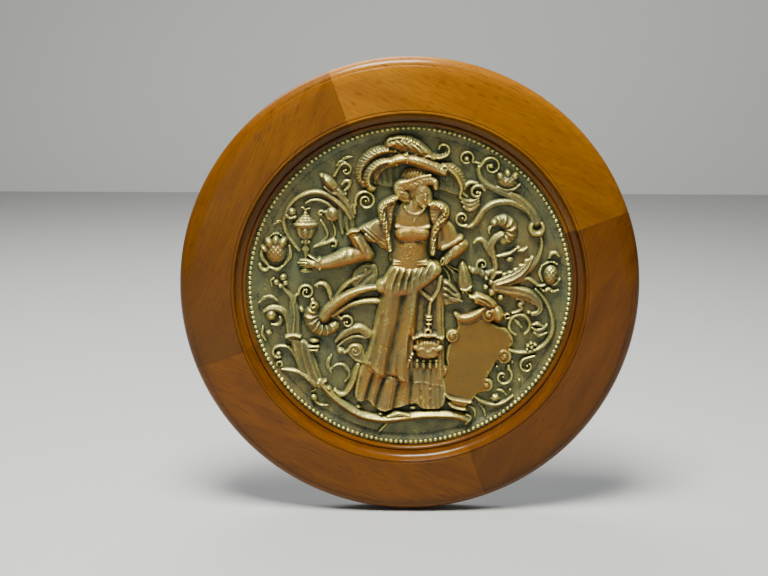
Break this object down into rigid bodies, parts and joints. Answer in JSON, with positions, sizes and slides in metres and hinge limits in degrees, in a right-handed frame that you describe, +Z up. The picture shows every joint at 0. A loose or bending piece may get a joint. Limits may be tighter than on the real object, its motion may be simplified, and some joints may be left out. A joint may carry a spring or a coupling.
{
  "type": "bronze wall plaque",
  "caption": "Round wall plaque: a cast bronze medallion with a lady, covered cup, blank cartouche and foliage in relief, in a turned wooden frame with mitred blocks.",
  "frame": {"origin": "middle of the flat back, where the plaque meets the wall", "axes": "the face looks along -Y, +Y into the wall, +Z up, +X to the viewer's right"},
  "size_m": [0.3596, 0.022, 0.3596],
  "materials": {
    "wood_top": "varnished golden-brown hardwood, satin gloss",
    "wood_left": "varnished dark red-brown hardwood, satin gloss",
    "wood_bottom": "varnished mid-brown hardwood, satin gloss",
    "wood_right": "varnished dark brown hardwood, satin gloss",
    "bronze": "cast bronze with a dark olive patina, worn to pale metal on raised edges"
  },
  "bodies": {
    "root": {"frame_stave_top": "wood_top", "frame_stave_left": "wood_left", "frame_stave_bottom": "wood_bottom", "frame_stave_right": "wood_right", "bronze_medallion": "bronze"}
  },
  "joints": []
}
